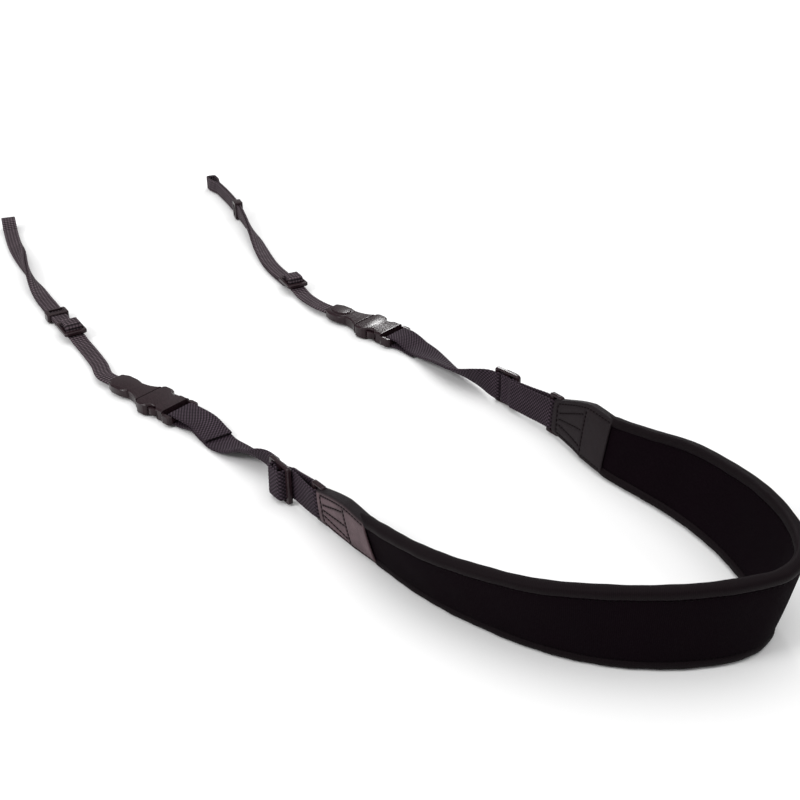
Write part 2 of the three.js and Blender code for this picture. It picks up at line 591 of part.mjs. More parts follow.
for (const side of ["left", "right"]) {
  const way = side === "left" ? 1 : -1; // +1 where arc length grows towards the pad
  const upward = -way; // which face of the narrow webbing looks up
  const at = (name) => S[side + "_" + name];
  add(side + "_leather_tab", cut(...tab(at("tab_tip"), at("tab_end"), way)), FINISH.leather);
  const ringAt = at("tab_tip") + way * (TAB.wall + TAB.slack + RING.bar - RING.long / 2);
  seat(add(side + "_tab_ring", ring(), FINISH.plastic), ringAt, 0, way);
  seat(add(side + "_wide_slide", slide(WIDE.width), FINISH.plastic), at("wide_slide"), SLIDE_OUT, way);
  const slideMesh = add(side + "_narrow_slide", slide(NARROW.width), FINISH.plastic);
  seat(slideMesh, at("narrow_slide"), upward * SLIDE_OUT, way);
  seat(add(side + "_narrow_keeper", keeper(), FINISH.plastic), at("keeper"), 0, way);
  seat(add(side + "_buckle_female", buckleFemale(), FINISH.plastic), at("mouth"), 0, way);
  seat(add(side + "_buckle_male", buckleMale(), FINISH.plastic), at("mouth"), 0, way);
  const wide = wideWebbing(at("mouth"), at("wide_slide"), ringAt, BUCKLE.foldBack[side], way);
  add(side + "_wide_webbing", webbing(wide, WIDE), FINISH.webbing);
  const narrow = narrowWebbing(at("mouth"), at("narrow_slide"), at("end"), -way, upward);
  add(side + "_narrow_webbing", webbing(narrow, NARROW), FINISH.webbing);
}

export default strap;
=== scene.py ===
"""Looks of a camera neck strap that lies in a long loop on a surface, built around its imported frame.

Every length is in metres. The strap's middle line runs from the left free end, round the neck pad, to the
right free end. A place on the strap is (s, n, w): s along it, n out of its outer face, w across its width.
"""
import logging
import math
from dataclasses import dataclass
from enum import Enum
from typing import NamedTuple

import bpy
import bmesh
import numpy as np
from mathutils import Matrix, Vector


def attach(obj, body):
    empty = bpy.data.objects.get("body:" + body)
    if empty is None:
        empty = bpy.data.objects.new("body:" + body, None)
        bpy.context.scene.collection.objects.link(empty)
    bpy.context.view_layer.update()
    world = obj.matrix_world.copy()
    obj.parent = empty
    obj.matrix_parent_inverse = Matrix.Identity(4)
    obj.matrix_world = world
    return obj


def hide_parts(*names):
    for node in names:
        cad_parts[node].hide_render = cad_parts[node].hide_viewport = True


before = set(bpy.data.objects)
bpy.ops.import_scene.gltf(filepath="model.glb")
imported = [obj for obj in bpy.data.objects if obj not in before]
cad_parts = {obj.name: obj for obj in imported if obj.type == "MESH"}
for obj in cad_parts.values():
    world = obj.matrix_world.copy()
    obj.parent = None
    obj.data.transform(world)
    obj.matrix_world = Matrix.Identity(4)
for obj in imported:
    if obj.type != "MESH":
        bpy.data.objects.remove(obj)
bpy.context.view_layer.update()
log = logging.getLogger("neck_strap")

GAP = 0.0003  # clearance between neighbouring pieces
ORIGIN = (0.0057, 0.0012)  # the middle of the strap's box, in the stations' own coordinates
FACES = (1, -1)  # outer and inner face
STITCH_GAP = 0.14  # share of a stitch's pitch that is bare at each end of it


class Side(Enum):
    """One of the strap's two arms, with the way in which s grows towards the pad."""

    LEFT = 1
    RIGHT = -1

    def name_of(self, piece: str) -> str:
        """Name of this arm's own copy of a piece."""
        return f"{self.name.lower()}_{piece}"


class Weave(Enum):
    """How the threads stand out of a webbing's face."""

    DOTTED = "dotted"
    RIBBED = "ribbed"


class Station(NamedTuple):
    """A place on the middle line: its plan, the lower edge's lift, the roll in degrees and the width."""

    x: float
    y: float
    lift: float
    roll: float
    wide: float
    at: str = ""


STATIONS = [
    Station(-0.321, -0.087, 0.0037, 0, 0.01, "left_end"),
    Station(-0.311, -0.0888, 0.0036, 0, 0.01),
    Station(-0.298, -0.091, 0.002, 3, 0.01),
    Station(-0.278, -0.094, 0.0012, 10, 0.01),
    Station(-0.25, -0.097, 0.0009, 44, 0.01),
    Station(-0.226, -0.0993, 0.0009, 82, 0.01),
    Station(-0.198, -0.1014, 0.0011, 124, 0.01),
    Station(-0.179, -0.102, 0.0016, 165, 0.01),
    Station(-0.163, -0.102, 0.0024, 180, 0.01),
    Station(-0.14, -0.1015, 0.0027, 180, 0.01, "left_keeper"),
    Station(-0.111, -0.1, 0.0022, 180, 0.01, "left_narrow_slide"),
    Station(-0.082, -0.0983, 0.0014, 180, 0.01),
    Station(-0.06, -0.0986, 0.0022, 180, 0.01),
    Station(-0.0396, -0.1, 0.0033, 180, 0.01),
    Station(-0.034, -0.0979, 0.0033, 180, 0.01),
    Station(-0.0035, -0.0865, 0.0033, 180, 0.01, "left_mouth"),
    Station(0.0246, -0.076, 0.0033, 180, 0.017),
    Station(0.0302, -0.0739, 0.0033, 180, 0.017),
    Station(0.0387, -0.0708, 0.0028, 180, 0.017),
    Station(0.05, -0.069, 0.0012, 180, 0.017),
    Station(0.061, -0.0675, 0.0002, 177, 0.017),
    Station(0.071, -0.0645, 0.0003, 167, 0.017),
    Station(0.0815, -0.0615, 0.0005, 148, 0.017),
    Station(0.092, -0.06, 0.0008, 132, 0.017),
    Station(0.103, -0.0591, 0.0017, 103, 0.017),
    Station(0.111, -0.0585, 0.0024, 91, 0.017),
    Station(0.121, -0.0578, 0.0025, 90, 0.017, "left_wide_slide"),
    Station(0.136, -0.0556, 0.0029, 92, 0.017),
    Station(0.149, -0.0538, 0.0034, 95, 0.018),
    Station(0.152, -0.0534, 0.003, 95, 0.019, "left_tab_tip"),
    Station(0.179, -0.05, 0.001, 101, 0.029),
    Station(0.195, -0.0475, 0.0002, 105, 0.0305, "left_tab_end"),
    Station(0.211, -0.0455, 0.0002, 106, 0.0335),
    Station(0.235, -0.04, 0.0002, 106, 0.037),
    Station(0.26, -0.0296, 0.0002, 104, 0.04),
    Station(0.282, -0.0172, 0.0002, 102, 0.043),
    Station(0.299, -0.0023, 0.0002, 99, 0.0455),
    Station(0.312, 0.0145, 0.0002, 97, 0.0465),
    Station(0.322, 0.033, 0.0002, 96, 0.047),
    Station(0.3285, 0.051, 0.0002, 97, 0.048),
    Station(0.33, 0.066, 0.0002, 99, 0.048),
    Station(0.3255, 0.0785, 0.0002, 100, 0.048),
    Station(0.3155, 0.088, 0.0002, 100, 0.048),
    Station(0.3015, 0.095, 0.0002, 100, 0.048),
    Station(0.284, 0.1002, 0.0002, 99, 0.0475),
    Station(0.262, 0.1038, 0.0002, 99, 0.045),
    Station(0.236, 0.1042, 0.0002, 100, 0.042),
    Station(0.21, 0.1005, 0.0002, 101, 0.037),
    Station(0.187, 0.097, 0.0002, 102, 0.0335, "right_tab_end"),
    Station(0.169, 0.0969, 0.001, 100, 0.0315),
    Station(0.14, 0.0966, 0.003, 96, 0.019, "right_tab_tip"),
    Station(0.136, 0.0962, 0.0034, 95, 0.018),
    Station(0.12, 0.0933, 0.0029, 92, 0.017),
    Station(0.101, 0.089, 0.0025, 90, 0.017, "right_wide_slide"),
    Station(0.091, 0.0868, 0.0022, 87, 0.017),
    Station(0.082, 0.085, 0.0016, 66, 0.017),
    Station(0.072, 0.0831, 0.0011, 46, 0.017),
    Station(0.061, 0.0816, 0.0008, 34, 0.017),
    Station(0.049, 0.0814, 0.0007, 27, 0.017),
    Station(0.037, 0.0818, 0.001, 14, 0.017),
    Station(0.026, 0.0816, 0.002, 3, 0.017),
    Station(0.0165, 0.0805, 0.0026, 0, 0.017),
    Station(0.0086, 0.0787, 0.0033, 0, 0.017),
    Station(0.00295, 0.0768, 0.0033, 0, 0.017),
    Station(-0.0255, 0.0673, 0.0033, 0, 0.01, "right_mouth"),
    Station(-0.0563, 0.057, 0.0033, 0, 0.01),
    Station(-0.062, 0.0551, 0.0033, 0, 0.01),
    Station(-0.08, 0.0535, 0.002, 0, 0.01),
    Station(-0.105, 0.054, 0.0022, 0, 0.01, "right_narrow_slide"),
    Station(-0.146, 0.0555, 0.0014, 4, 0.01),
    Station(-0.172, 0.06, 0.0013, 18, 0.01),
    Station(-0.195, 0.065, 0.0012, 45, 0.01),
    Station(-0.22, 0.0695, 0.0014, 76, 0.01),
    Station(-0.248, 0.0745, 0.0023, 90, 0.01, "right_keeper"),
    Station(-0.28, 0.0795, 0.001, 90, 0.01),
    Station(-0.326, 0.083, 0.0002, 90, 0.01, "right_end"),
]


# ---- The strap's middle line ----
@dataclass
class Frame:
    """Places on the middle line with the three directions of the strap there, as arrays."""

    point: np.ndarray
    along: np.ndarray
    across: np.ndarray
    out: np.ndarray
    wide: np.ndarray


def unit(vectors: np.ndarray) -> np.ndarray:
    """Vectors divided by their own lengths."""
    return vectors / np.linalg.norm(vectors, axis=-1, keepdims=True)


def signed_power(values: np.ndarray, power: float) -> np.ndarray:
    """Raises values to a power and keeps their signs."""
    return np.sign(values) * np.abs(values) ** power


class Route:
    """The strap's middle line, a smooth curve through its stations.

    Between two stations each column is a cubic in u, the chord length in plan. A station's slope is the mean
    of the slopes of its two sides, each weighted by the length of the other side.
    """

    HALF_THICKNESS = 0.0007
    STEP = 0.001

    def __init__(self, stations: list[Station]) -> None:
        """Samples the line about every STEP and measures it.

        Args:
            stations: the places that the line runs through, in order.
        """
        rows = np.array([station[:5] for station in stations])
        rows[:, :2] -= ORIGIN
        span = np.hypot(np.diff(rows[:, 0]), np.diff(rows[:, 1]))[:, None]
        rise = np.diff(rows, axis=0) / span
        slopes = np.concatenate([rise[:1], rise, rise[-1:]])
        slopes = (slopes[:-1] * np.r_[span, span[-1:]] + slopes[1:] * np.r_[span[:1], span])
        slopes /= np.r_[span, span[-1:]] + np.r_[span[:1], span]
        samples = [rows[:1]]
        starts = [0]
        for i, length in enumerate(span[:, 0]):
            count = math.ceil(length * 0.999999 / self.STEP)
            t = np.linspace(0, 1, count + 1)[1:, None]
            samples.append(self.cubic(rows[i], rows[i + 1], slopes[i] * length, slopes[i + 1] * length, t))
            starts.append(starts[-1] + count)
        x, y, lift, roll, self.wide = np.concatenate(samples).T
        self.turn = np.radians(roll)
        rise_of_middle = self.wide / 2 * np.abs(np.sin(self.turn))
        z = lift + rise_of_middle + self.HALF_THICKNESS * np.abs(np.cos(self.turn))
        self.points = np.stack([x, y, z], -1)
        steps = np.linalg.norm(np.diff(self.points, axis=0), axis=1)
        self.s = np.r_[0, np.cumsum(steps)]
        padded = np.concatenate([self.points[:1], self.points, self.points[-1:]])
        self.tangents = unit(padded[2:] - padded[:-2])
        self.length = float(self.s[-1])
        self.station = {row.at: float(self.s[k]) for row, k in zip(stations, starts) if row.at}

    @staticmethod
    def cubic(p: np.ndarray, q: np.ndarray, mp: np.ndarray, mq: np.ndarray, t: np.ndarray) -> np.ndarray:
        """Hermite cubic from p to q with slopes mp and mq, at t from 0 to 1."""
        a, b = t**2, t**3
        return p * (2 * b - 3 * a + 1) + mp * (b - 2 * a + t) + q * (3 * a - 2 * b) + mq * (b - a)

    def frame(self, s: np.ndarray) -> Frame:
        """Finds the strap's directions: out stands on along and across, and roll turns them about along.

        Args:
            s: lengths along the middle line. Past its ends the line goes on straight.
        Returns:
            The frame at each s.
        """
        s = np.asarray(s, float)
        at = np.clip(s, 0, self.length)
        point = np.stack([np.interp(at, self.s, column) for column in self.points.T], -1)
        along = unit(np.stack([np.interp(at, self.s, column) for column in self.tangents.T], -1))
        up = unit(np.array([0, 0, 1.0]) - along * along[..., 2:])
        level = np.cross(up, along)
        turn = np.interp(at, self.s, self.turn)[..., None]
        across = level * np.cos(turn) + up * np.sin(turn)
        point = point + along * (s - at)[..., None]
        return Frame(point, along, across, np.cross(along, across), np.interp(at, self.s, self.wide))

    def at(self, s: np.ndarray, n: np.ndarray, w: np.ndarray) -> np.ndarray:
        """Points in space at strap coordinates s, n and w."""
        s, n, w = np.broadcast_arrays(s, n, w)
        f = self.frame(s)
        return f.point + f.out * n[..., None] + f.across * w[..., None]


# ---- Meshes from grids ----
def add_object(mesh: bpy.types.Mesh) -> bpy.types.Object:
    """Puts a mesh into the scene as an object of the same name."""
    made = bpy.data.objects.new(mesh.name, mesh)
    bpy.context.collection.objects.link(made)
    return made


def skin(name: str, rings: np.ndarray, uv: np.ndarray, relief: np.ndarray | None = None) -> bpy.types.Object:
    """Makes a closed solid from rings of points, each ring joined to the next by quads and both ends filled.

    Args:
        name: the object's name.
        rings: points [rings, points of a ring, 3], each ring right-handed about the way that the rings go.
        uv: metres along and around for each point, with one more column that closes the ring.
        relief: a share from 0 to 1 at each point for the finish to read: how far the weave stands out on
            webbing, and painted light on the leather.
    Returns:
        The new object.
    """
    rows, columns = rings.shape[:2]
    i, j = np.meshgrid(np.arange(rows - 1), np.arange(columns), indexing="ij")
    k = (j + 1) % columns
    quads = np.stack([i * columns + j, i * columns + k, (i + 1) * columns + k, (i + 1) * columns + j], -1)
    first = np.arange(columns)[::-1]
    last = np.arange(columns) + (rows - 1) * columns
    mesh = bpy.data.meshes.new(name)
    faces = quads.reshape(-1, 4).tolist() + [first.tolist(), last.tolist()]
    mesh.from_pydata(rings.reshape(-1, 3).tolist(), [], faces)
    corners = np.stack([uv[i, j], uv[i, j + 1], uv[i + 1, j + 1], uv[i + 1, j]], 2).reshape(-1, 2)
    corners = np.concatenate([corners, uv[0, first], uv[-1, :columns]])
    mesh.uv_layers.new(name="strap").data.foreach_set("uv", corners.ravel())
    smooth = np.ones(len(mesh.polygons), bool)
    smooth[-2:] = False
    mesh.polygons.foreach_set("use_smooth", smooth)
    if relief is not None:
        heights = mesh.attributes.new("relief", "FLOAT", "POINT")
        heights.data.foreach_set("value", relief.ravel().astype(np.float32))
    return add_object(mesh)


def ring_uv(along: np.ndarray, rings: np.ndarray) -> np.ndarray:
    """Texture metres of a skin: given lengths along it, and measured lengths round the middle ring.

    Args:
        along: length along the skin of each ring.
        rings: the skin's points.
    Returns:
        Pairs [rings, points of a ring + 1, 2].
    """
    middle = rings[len(rings) // 2]
    steps = np.linalg.norm(np.roll(middle, -1, axis=0) - middle, axis=1)
    around = np.r_[0, np.cumsum(steps)]
    return np.stack(np.broadcast_arrays(along[:, None], around[None, :]), -1)


@dataclass
class BandSection:
    """A flat section with round edges: two half circles, as high as it is thick, joined by straight faces.

    Going round it is right-handed about the way that it is carried.
    """

    width: float
    thick: float
    step: float
    turns: int = 7

    def __post_init__(self) -> None:
        """Lays out the section's points, its normals and the share of each that is a face."""
        radius = self.thick / 2
        reach = self.width / 2 - radius
        turn = np.linspace(-math.pi / 2, math.pi / 2, self.turns)
        face = np.linspace(reach, -reach, round(2 * reach / self.step) + 1)[1:-1]
        w = np.r_[reach + radius * np.cos(turn), face, -reach - radius * np.cos(turn), -face]
        n = np.r_[radius * np.sin(turn), 0 * face + radius, -radius * np.sin(turn), 0 * face - radius]
        self.w, self.n = w, n
        self.out_w = np.r_[np.cos(turn), 0 * face, -np.cos(turn), 0 * face]
        self.out_n = np.r_[np.sin(turn), 0 * face + 1, -np.sin(turn), 0 * face - 1]


def laid(corners: list[tuple[float, float]], bend: float, step: float) -> np.ndarray:
    """Joins corners by straight runs and round bends, then resamples the line evenly.

    A bend is the parabola p(t) = (1-t)^2 a + 2t(1-t) c + t^2 b, from a on one straight run to b on the next
    about their corner c, with a and b at the reach that a circle of radius bend would touch.

    Args:
        corners: pairs of s and n.
        bend: radius of the bends.
        step: distance between samples.
    Returns:
        Pairs of s and n.
    """
    line = [np.array(corners[:1])]
    t = np.linspace(0, 1, 13)[:, None]
    for before, here, after in zip(corners, corners[1:], corners[2:]):
        middle = np.array(here)
        back = np.array(before) - middle
        on = np.array(after) - middle
        back_length, on_length = np.linalg.norm(back), np.linalg.norm(on)
        angle = math.acos(np.clip(back @ on / (back_length * on_length), -1, 1))
        reach = min(bend / math.tan(angle / 2), back_length / 2, on_length / 2)
        start = middle + back / back_length * reach
        end = middle + on / on_length * reach
        line.append((1 - t) ** 2 * start + 2 * t * (1 - t) * middle + t**2 * end)
    line.append(np.array(corners[-1:]))
    points = np.concatenate(line)
    steps = np.linalg.norm(np.diff(points, axis=0), axis=1)
    points = points[np.r_[True, steps > 1e-9]]
    length = np.r_[0, np.cumsum(steps[steps > 1e-9])]
    even = np.linspace(0, length[-1], round(length[-1] / step) + 1)
    return np.stack([np.interp(even, length, points[:, 0]), np.interp(even, length, points[:, 1])], -1)


def stitches(
    name: str, points: np.ndarray, outward: np.ndarray, pitch: float, thick: float
) -> bpy.types.Object:
    """Sews a row of stitches along a line, as short threads with a gap between two.

    A stitch is a tube whose radius is thick/2 sqrt(1 - t^2) and whose middle stands 0.6 radii (1 - 1.6 t^2)
    out of the surface, with t from -1 to 1 along it.

    Args:
        name: the object's name.
        points: the line's points [rows, points, 3], one row for each seam.
        outward: the surface's normals there.
        pitch: from one stitch to the next.
        thick: the thread's thickness.
    Returns:
        The new object, with all stitches joined in one mesh.
    """

    def pick(rows: np.ndarray, length: np.ndarray, at: np.ndarray) -> np.ndarray:
        """Rows of points at the given lengths along their line."""
        return np.stack([np.interp(at, length, column) for column in rows.T], -1)

    starts, ends, normals = [], [], []
    for line, normal in zip(points, outward):
        length = np.r_[0, np.cumsum(np.linalg.norm(np.diff(line, axis=0), axis=1))]
        count = max(2, int(length[-1] / pitch))
        marks = (np.arange(count) + STITCH_GAP) * length[-1] / count
        reach = (1 - 2 * STITCH_GAP) * length[-1] / count
        starts.append(pick(line, length, marks))
        ends.append(pick(line, length, marks + reach))
        normals.append(pick(normal, length, marks + reach / 2))
    start, end = np.concatenate(starts), np.concatenate(ends)
    out = unit(np.concatenate(normals))
    along = unit(end - start)
    side = unit(np.cross(along, out))
    t = np.array([-0.98, -0.75, -0.3, 0.3, 0.75, 0.98])
    around = np.linspace(0, 2 * math.pi, 6, endpoint=False)
    radius = thick / 2 * np.sqrt(1 - t**2)
    lift = 0.6 * thick / 2 * (1 - 1.6 * t**2)
    half = np.linalg.norm(end - start, axis=1)[:, None, None, None] / 2
    middle = (start + end)[:, None, None, :] / 2
    ring = middle + along[:, None, None, :] * half * t[None, :, None, None]
    rise = lift[:, None] + radius[:, None] * np.sin(around)
    spread = radius[:, None] * np.cos(around)
    threads = ring + out[:, None, None, :] * rise[None, :, :, None]
    threads = threads + side[:, None, None, :] * spread[None, :, :, None]
    count, rows, columns = threads.shape[:3]
    m, i, j = np.meshgrid(np.arange(count), np.arange(rows - 1), np.arange(columns), indexing="ij")
    base = m * rows * columns
    k = (j + 1) % columns
    here, on = base + i * columns, base + (i + 1) * columns
    quads = np.stack([here + j, on + j, on + k, here + k], -1)
    starts_of = np.arange(count)[:, None] * rows * columns
    low = starts_of + np.arange(columns)
    high = starts_of + (rows - 1) * columns + np.arange(columns)[::-1]
    mesh = bpy.data.meshes.new(name)
    faces = quads.reshape(-1, 4).tolist() + low.tolist() + high.tolist()
    mesh.from_pydata(threads.reshape(-1, 3).tolist(), [], faces)
    mesh.polygons.foreach_set("use_smooth", np.ones(len(mesh.polygons), bool))
    return add_object(mesh)


# ---- Finishes ----
class Dressing:
    """The node tree of one finish, with short ways to add its nodes."""

    def __init__(self, name: str) -> None:
        """Starts a material with a Principled shader."""
        self.material = bpy.data.materials.new(name)
        self.material.use_nodes = True
        self.nodes = self.material.node_tree.nodes
        self.links = self.material.node_tree.links
        self.shader = self.nodes["Principled BSDF"]

    def put(self, socket: bpy.types.NodeSocket, value: object) -> None:
        """Joins a socket to another one, or sets its own value."""
        if isinstance(value, bpy.types.NodeSocket):
            self.links.new(value, socket)
        else:
            socket.default_value = value

    def node(
        self, kind: str, inputs: dict[str | int, object] | None = None, **settings: object
    ) -> bpy.types.Node:
        """Adds a node.

        Args:
            kind: the node's type, without ShaderNode.
            inputs: values or sockets for its inputs, by name or number.
            settings: the node's own settings.
        Returns:
            The node.
        """
        made = self.nodes.new("ShaderNode" + kind)
        for key, value in settings.items():
            setattr(made, key, value)
        for key, value in (inputs or {}).items():
            self.put(made.inputs[key], value)
        return made

    def place(self) -> bpy.types.NodeSocket:
        """Object coordinates, in metres."""
        return self.node("TexCoord").outputs["Object"]

    def strap_place(self) -> bpy.types.NodeSocket:
        """The piece's own metres along and around."""
        return self.node("UVMap", uv_map="strap").outputs["UV"]

    def noise(self, place: bpy.types.NodeSocket, scale: float, detail: float = 3) -> bpy.types.NodeSocket:
        """Noise from 0 to 1, with scale features to a metre."""
        return self.node("TexNoise", {"Vector": place, "Scale": scale, "Detail": detail}).outputs["Fac"]

    def math(self, operation: str, a: object, b: object = 0.0) -> bpy.types.NodeSocket:
        """One sum on two numbers or sockets."""
        return self.node("Math", {0: a, 1: b}, operation=operation).outputs[0]

    def between(self, share: object, low: tuple[float, ...], high: tuple[float, ...]) -> bpy.types.NodeSocket:
        """Mixes two colours by a share from 0 to 1."""
        return self.node("Mix", {0: share, 6: (*low, 1), 7: (*high, 1)}, data_type="RGBA").outputs[2]

    def span(self, value: object, low: float, high: float) -> bpy.types.NodeSocket:
        """Carries 0 to 1 on to low to high."""
        return self.node("MapRange", {"Value": value, "To Min": low, "To Max": high}).outputs["Result"]

    def threads(self, place: bpy.types.NodeSocket, pitch: float, axis: int) -> bpy.types.NodeSocket:
        """Rows of round threads, |sin(pi x / pitch)|, across one axis of a place."""
        part = self.node("SeparateXYZ", {"Vector": place}).outputs[axis]
        return self.math("ABSOLUTE", self.math("SINE", self.math("MULTIPLY", part, math.pi / pitch)))

    def bump(self, height: object, distance: float) -> bpy.types.NodeSocket:
        """A bump of the given height in metres."""
        return self.node("Bump", {"Height": height, "Distance": distance}).outputs["Normal"]

    def dress(self, **inputs: object) -> bpy.types.Material:
        """Sets the shader's inputs, by names with _ for a space, and hands the material over."""
        for name, value in inputs.items():
            self.put(self.shader.inputs[name.replace("_", " ")], value)
        return self.material


@dataclass(frozen=True)
class WovenNylon:
    """Dark nylon webbing, whose crests catch the light and whose threads show as fine ribs."""

    name: str
    hollow: tuple[float, float, float]
    crest: tuple[float, float, float]
    thread: float

    def material(self) -> bpy.types.Material:
        """Colours the weave by its relief, painting its crests lighter as painted highlights, with fine
        threads both ways.

        Returns:
            The finish's material.
        """
        d = Dressing(self.name)
        place = d.strap_place()
        relief = d.node("Attribute", attribute_name="relief").outputs["Fac"]
        warp = d.threads(place, self.thread, 1)
        twist = d.threads(place, self.thread * 1.6, 0)
        wear_and_sheen = d.noise(d.place(), 90.0)
        lustre = d.span(d.math("MULTIPLY", warp, wear_and_sheen), 0.5, 1.3)
        # painted highlight: the crests are painted lighter than the hollows, by the weave's relief, the
        # threads and clouds
        share = d.math("MULTIPLY", d.math("POWER", relief, 2.2), lustre)
        height = d.math("ADD", warp, d.math("MULTIPLY", twist, 0.6))
        return d.dress(
            Base_Color=d.between(share, self.hollow, self.crest),
            Roughness=d.span(share, 0.85, 0.35),
            Normal=d.bump(height, 0.00005),
            Specular_IOR_Level=0.14,
        )


@dataclass(frozen=True)
class Jersey:
    """Knitted face over foam rubber: fine columns of loops, matt, with a little fluff."""

    name: str = "neoprene_jersey"
    dark: tuple[float, float, float] = (0.0015, 0.0006, 0.0012)
    light: tuple[float, float, float] = (0.0062, 0.0026, 0.0048)
    column: float = 0.0008

    def material(self) -> bpy.types.Material:
        """Knit columns and courses as bump and colour, over soft clouds.

        Returns:
            The finish's material.
        """
        d = Dressing(self.name)
        place = d.strap_place()
        columns = d.threads(place, self.column, 0)
        courses = d.threads(place, self.column * 0.8, 1)
        knit = d.math("MULTIPLY", columns, courses)
        clouds = d.noise(d.place(), 60.0, 4)
        fluff = d.noise(d.place(), 2600.0, 2)
        loops = d.math("ADD", knit, d.math("MULTIPLY", fluff, 0.5))
        share = d.math("MULTIPLY", loops, d.span(clouds, 0.4, 0.9))
        height = d.math("ADD", knit, d.math("MULTIPLY", fluff, 0.8))
        return d.dress(
            Base_Color=d.between(share, self.dark, self.light),
            Roughness=d.span(clouds, 0.78, 0.95),
            Normal=d.bump(height, 0.00009),
            Specular_IOR_Level=0.03,
        )


@dataclass(frozen=True)
class EdgeTape:
    """Smooth tape rolled round the pad's edge, with fine cross ribs."""

    name: str = "edge_tape"
    dark: tuple[float, float, float] = (0.0022, 0.001, 0.0016)
    light: tuple[float, float, float] = (0.011, 0.006, 0.008)
    rib: float = 0.0007

    def material(self) -> bpy.types.Material:
        """Cross ribs under a soft shine.

        Returns:
            The finish's material.
        """
        d = Dressing(self.name)
        place = d.strap_place()
        ribs = d.threads(place, self.rib, 0)
        fluff = d.noise(d.place(), 1800.0, 2)
        height = d.math("ADD", ribs, d.math("MULTIPLY", fluff, 0.7))
        return d.dress(
            Base_Color=d.between(d.math("MULTIPLY", ribs, fluff), self.dark, self.light),
            Roughness=d.span(fluff, 0.5, 0.7),
            Normal=d.bump(height, 0.00006),
            Specular_IOR_Level=0.06,
        )


@dataclass(frozen=True)
class Leather:
    """Smooth dark leather with a fine grain and clouds of wear, painted paler where its relief says, as
    painted light on the outer face.
    """

    name: str = "dark_leather"
    dark: tuple[float, float, float] = (0.006, 0.003, 0.0045)
    light: tuple[float, float, float] = (0.155, 0.095, 0.108)
    grain: float = 1500.0

    def material(self) -> bpy.types.Material:
        """Pebbles from cell distances, with clouds of wear over them.

        Returns:
            The finish's material.
        """
        d = Dressing(self.name)
        place = d.place()
        cells = d.node("TexVoronoi", {"Vector": place, "Scale": self.grain}, feature="DISTANCE_TO_EDGE")
        pebbles = d.node("MapRange", {"Value": cells.outputs["Distance"], "From Max": 0.12}).outputs["Result"]
        wear = d.noise(place, 130.0, 5)
        fine = d.noise(place, 4000.0, 2)
        painted_face_light = d.node("Attribute", attribute_name="relief").outputs["Fac"]
        wear_and_sheen = d.math("MULTIPLY", d.span(wear, 0.2, 1.0), d.span(pebbles, 0.6, 1.0))
        # painted light: the relief paints the outer face paler than the inner one, varied by wear and grain
        share = d.math("MULTIPLY", painted_face_light, wear_and_sheen)
        height = d.math("ADD", pebbles, d.math("MULTIPLY", fine, 0.5))
        return d.dress(
            Base_Color=d.between(share, self.dark, self.light),
            Roughness=d.span(share, 0.6, 0.38),
            Normal=d.bump(height, 0.00006),
            Specular_IOR_Level=0.16,
        )


@dataclass(frozen=True)
class MouldedPlastic:
    """Satin moulded acetal with a fine spark-eroded grain and faint scuffs."""

    name: str = "moulded_acetal"
    dark: tuple[float, float, float] = (0.006, 0.0025, 0.0035)
    light: tuple[float, float, float] = (0.03, 0.016, 0.02)

    def material(self) -> bpy.types.Material:
        """Grain as bump, with scuffs in colour and roughness.

        Returns:
            The finish's material.
        """
        d = Dressing(self.name)
        place = d.place()
        grain = d.noise(place, 5200.0, 2)
        stretched = d.node("Mapping", {"Vector": place, "Scale": (1.0, 3.0, 1.0)}).outputs["Vector"]
        scuffs = d.noise(stretched, 420.0, 6)
        return d.dress(
            Base_Color=d.between(scuffs, self.dark, self.light),
            Roughness=d.span(scuffs, 0.18, 0.28),
            Normal=d.bump(grain, 0.00001),
            Specular_IOR_Level=0.17,
        )


@dataclass(frozen=True)
class Thread:
    """Twisted dark thread, sunk in what it sews."""

    name: str
    colour: tuple[float, float, float]
    shine: float = 0.03

    def material(self) -> bpy.types.Material:
        """Plies as fine noise bump.

        Returns:
            The finish's material.
        """
        d = Dressing(self.name)
        plies = d.noise(d.place(), 3200.0, 2)
        dark = tuple(part * 0.5 for part in self.colour)
        return d.dress(
            Base_Color=d.between(plies, dark, self.colour),
            Roughness=d.span(plies, 0.4, 0.6),
            Normal=d.bump(plies, 0.00004),
            Specular_IOR_Level=self.shine,
        )


# ---- Pieces ----
def settle(piece: bpy.types.Object, material: bpy.types.Material, slot: str, *nodes: str) -> bpy.types.Object:
    """Dresses a piece, hangs it on the strap's one body and hides the solids that it stands for.

    Args:
        piece: the finished object.
        material: its finish.
        slot: the record's material slot; not used.
        nodes: the CAD nodes that it replaces.
    Returns:
        The piece.
    """
    piece.data.materials.clear()
    piece.data.materials.append(material)
    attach(piece, "root")
    if nodes:
        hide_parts(*nodes)
    log.info("%s: %d faces", piece.name, len(piece.data.polygons))
    return piece


